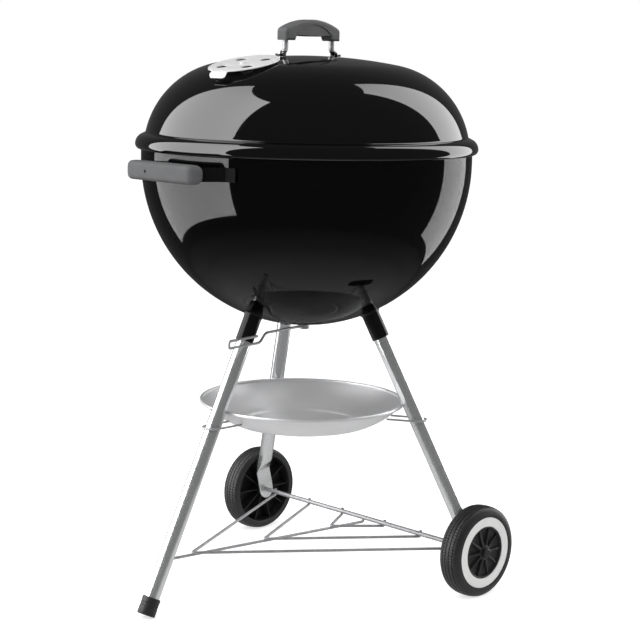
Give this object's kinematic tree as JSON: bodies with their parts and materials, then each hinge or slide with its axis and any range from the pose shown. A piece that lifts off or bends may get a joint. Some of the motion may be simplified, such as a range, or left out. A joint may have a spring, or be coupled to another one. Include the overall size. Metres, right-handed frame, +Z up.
{
  "type": "kettle charcoal grill",
  "caption": "Round kettle charcoal grill with a domed lid, lid damper, ash sweep and ash pan on splayed tube legs with a wire rack, a rubber foot and wheels.",
  "frame": {"origin": "on the ground below the kettle's axis", "axes": "+Z up along the kettle's axis, the single foot leg towards -Y, the wheel axle along X on the +Y side"},
  "size_m": [0.6046, 0.6896, 0.974],
  "materials": {
    "enamel": "gloss",
    "chrome": "polished",
    "aluminium": "satin",
    "pan_aluminium": "satin",
    "grip_plastic": "matte",
    "black_plastic": "matte",
    "white_plastic": "gloss",
    "black_steel": "satin",
    "wire": "satin",
    "grate_steel": "satin"
  },
  "bodies": {
    "stand": {"bowl_shell": "enamel", "front_leg": "chrome", "left_leg": "chrome", "right_leg": "chrome", "front_leg_socket": "enamel", "left_leg_socket": "enamel", "right_leg_socket": "enamel", "foot_cap": "black_plastic", "axle": "wire", "axle_caps": "black_plastic", "wire_rack": "wire", "ash_pan": "pan_aluminium", "front_pan_clip": "wire", "left_pan_clip": "wire", "right_pan_clip": "wire", "front_handle_bracket": "black_steel", "rear_handle_bracket": "black_steel", "front_handle_grip": "grip_plastic", "rear_handle_grip": "grip_plastic", "cooking_grate_tabs": "black_steel", "charcoal_grate_tabs": "black_steel"},
    "lid": {"lid_shell": "enamel", "lid_handle_grip": "grip_plastic", "lid_handle_post_front": "chrome", "lid_handle_post_rear": "chrome", "lid_handle_bolts": "chrome", "damper_rivet": "aluminium"},
    "damper": {"lid_damper": "aluminium"},
    "ash_sweep": {"sweep_blades": "aluminium", "sweep_shaft": "wire", "sweep_collar": "wire", "sweep_lever": "wire"},
    "left_wheel_set": {"left_wheel": "black_plastic", "left_trim_ring": "white_plastic", "left_hub_cover": "black_plastic"},
    "right_wheel_set": {"right_wheel": "black_plastic", "right_trim_ring": "white_plastic", "right_hub_cover": "black_plastic"},
    "cooking_grate_set": {"cooking_grate": "grate_steel", "cooking_grate_handles": "grate_steel"},
    "charcoal_grate_set": {"charcoal_grate": "grate_steel"}
  },
  "joints": [
    {"name": "lid_lift", "type": "slide", "parent": "stand", "child": "lid", "axis": [0, 0, 1], "range_m": [0, 0.4]},
    {"name": "damper_turn", "type": "hinge", "parent": "lid", "child": "damper", "pos_m": [0.01395, -0.15939, 0.89876], "axis": [0.0199, -0.2278, 0.9735], "range_deg": [0, 45]},
    {"name": "sweep_turn", "type": "hinge", "parent": "stand", "child": "ash_sweep", "pos_m": [0, 0, 0.455], "axis": [0, 0, 1], "range_deg": [0, 96]},
    {"name": "left_wheel_spin", "type": "hinge", "parent": "stand", "child": "left_wheel_set", "pos_m": [-0.27771, 0.1559, 0.079], "axis": [1, 0, 0], "continuous": true},
    {"name": "right_wheel_spin", "type": "hinge", "parent": "stand", "child": "right_wheel_set", "pos_m": [0.27771, 0.1559, 0.079], "axis": [1, 0, 0], "continuous": true},
    {"name": "cooking_grate_lift", "type": "slide", "parent": "stand", "child": "cooking_grate_set", "axis": [0, 0, 1], "range_m": [0, 0.04]},
    {"name": "charcoal_grate_lift", "type": "slide", "parent": "stand", "child": "charcoal_grate_set", "axis": [0, 0, 1], "range_m": [0, 0.1]}
  ]
}
